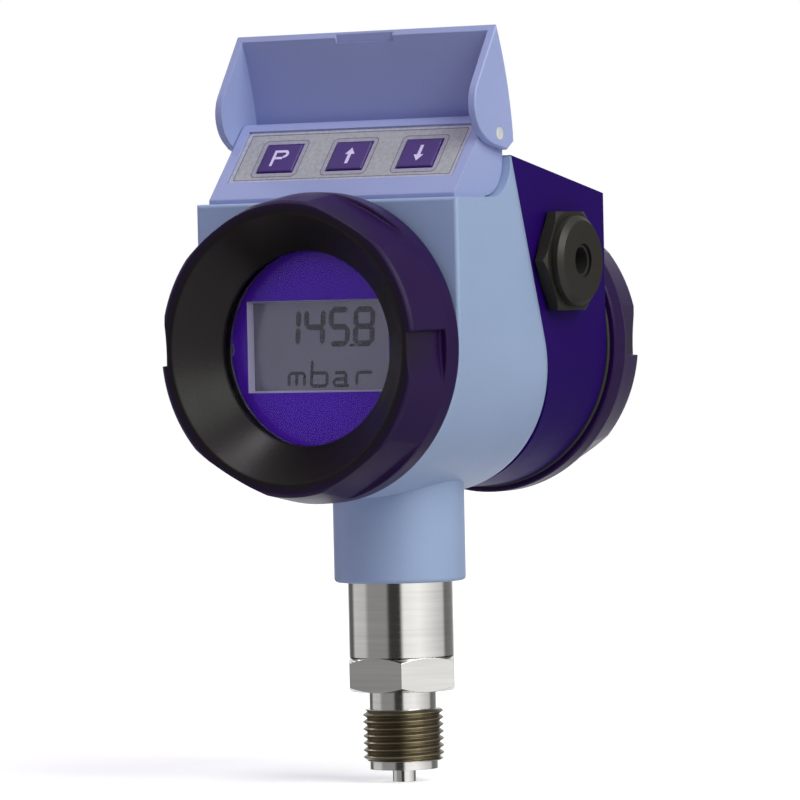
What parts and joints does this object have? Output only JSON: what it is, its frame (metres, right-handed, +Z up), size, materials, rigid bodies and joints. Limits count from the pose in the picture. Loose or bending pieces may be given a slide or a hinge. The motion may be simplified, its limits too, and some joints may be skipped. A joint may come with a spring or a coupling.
{
  "type": "pressure transmitter",
  "caption": "Industrial pressure transmitter: threaded steel process connection, swivelling two-part housing, screw covers, window display, operating keys under a flip lid, cable gland.",
  "frame": {"origin": "centre of the sealing face under the hexagon of the process connection, on the thread axis", "axes": "+Z up along the thread axis, away from the process; -Y the way the display looks; +X the side with the cable gland"},
  "size_m": [0.084, 0.1175, 0.1934],
  "materials": {
    "turned_steel": "turned stainless steel, fine lathe lines",
    "spring_steel": "spring steel, satin",
    "zinc_screw": "bright zinc plated",
    "light_blue_paint": "satin powder coat, light blue",
    "violet_paint": "satin powder coat, deep violet",
    "dark_cover_paint": "glossy powder coat, near-black violet",
    "seal_rubber": "matt black elastomer",
    "black_plastic": "matt black polyamide",
    "violet_plastic": "smooth, deep violet",
    "blue_plastic": "fine-grained, blue-violet",
    "foil": "satin overlay foil, silver grey",
    "key_plastic": "smooth, deep violet",
    "glass": "clear, polished",
    "lcd": "reflective grey-green liquid crystal panel",
    "ceramic_cell": "fired alumina, matt",
    "circuit_board": "green solder mask",
    "terminal_plastic": "moulded green terminal body",
    "lead_jacket": "grey silicone jacket"
  },
  "bodies": {
    "stem": {"process_connection": "turned_steel", "sensor_tube": "turned_steel", "swivel_oring": "seal_rubber", "swivel_circlip": "spring_steel", "cell_seal": "seal_rubber", "sensor_cell": "ceramic_cell", "cell_clamp": "turned_steel", "sensor_board": "circuit_board", "sensor_lead": "lead_jacket"},
    "housing": {"front_housing": "light_blue_paint", "rear_housing": "violet_paint", "housing_gasket": "seal_rubber", "housing_screws": "zinc_screw", "feedthrough": "black_plastic", "display_bezel": "violet_plastic", "lcd_panel": "lcd", "display_board": "circuit_board", "display_screws": "zinc_screw", "module_carrier": "black_plastic", "main_board": "circuit_board", "terminal_carrier": "black_plastic", "carrier_screws": "zinc_screw", "terminal_block": "terminal_plastic", "terminal_screws": "zinc_screw", "gland_gasket": "seal_rubber", "gland_body": "black_plastic", "gland_seal": "seal_rubber", "gland_nut": "black_plastic", "keypad_housing": "blue_plastic", "keypad_plate": "foil", "key_board": "circuit_board", "key_board_screws": "zinc_screw", "keypad_screws": "zinc_screw", "hinge_pins": "turned_steel"},
    "front_seal": {"front_cover_oring": "seal_rubber"},
    "front_cap": {"front_cover": "dark_cover_paint", "window_gasket": "seal_rubber", "window_glass": "glass", "window_ring": "spring_steel"},
    "rear_seal": {"rear_cover_oring": "seal_rubber"},
    "rear_cap": {"rear_cover": "dark_cover_paint"},
    "program_key": {"key_program": "key_plastic"},
    "up_key": {"key_up": "key_plastic"},
    "down_key": {"key_down": "key_plastic"},
    "lid": {"flip_lid": "blue_plastic"}
  },
  "joints": [
    {"name": "head_swivel", "type": "hinge", "parent": "stem", "child": "housing", "pos_m": [0, 0, 0.04], "axis": [0, 0, 1], "range_deg": [-165, 165]},
    {"name": "front_cover_travel", "type": "slide", "parent": "housing", "child": "front_seal", "axis": [0, -1, 0], "range_m": [0, 0.01]},
    {"name": "front_cover_turn", "type": "hinge", "parent": "front_seal", "child": "front_cap", "pos_m": [0, -0.0347, 0.0889], "axis": [0, -1, 0], "range_deg": [0, 1800]},
    {"name": "rear_cover_travel", "type": "slide", "parent": "housing", "child": "rear_seal", "axis": [0, 1, 0], "range_m": [0, 0.01]},
    {"name": "rear_cover_turn", "type": "hinge", "parent": "rear_seal", "child": "rear_cap", "pos_m": [0, 0.0465, 0.0889], "axis": [0, 1, 0], "range_deg": [0, 1800]},
    {"name": "program_key_press", "type": "slide", "parent": "housing", "child": "program_key", "axis": [0, 0.7466, -0.6652], "range_m": [0, 0.0006], "stiffness_N_per_m": 2000},
    {"name": "up_key_press", "type": "slide", "parent": "housing", "child": "up_key", "axis": [0, 0.7466, -0.6652], "range_m": [0, 0.0006], "stiffness_N_per_m": 2000},
    {"name": "down_key_press", "type": "slide", "parent": "housing", "child": "down_key", "axis": [0, 0.7466, -0.6652], "range_m": [0, 0.0006], "stiffness_N_per_m": 2000},
    {"name": "lid_hinge", "type": "hinge", "parent": "housing", "child": "lid", "pos_m": [0, -0.011, 0.1423], "axis": [1, 0, 0], "range_deg": [0, 123.8]}
  ],
  "couplings": [
    {"joint": "front_cover_travel", "follows": "front_cover_turn", "m_per_rad": 0.00031831},
    {"joint": "rear_cover_travel", "follows": "rear_cover_turn", "m_per_rad": 0.00031831}
  ]
}
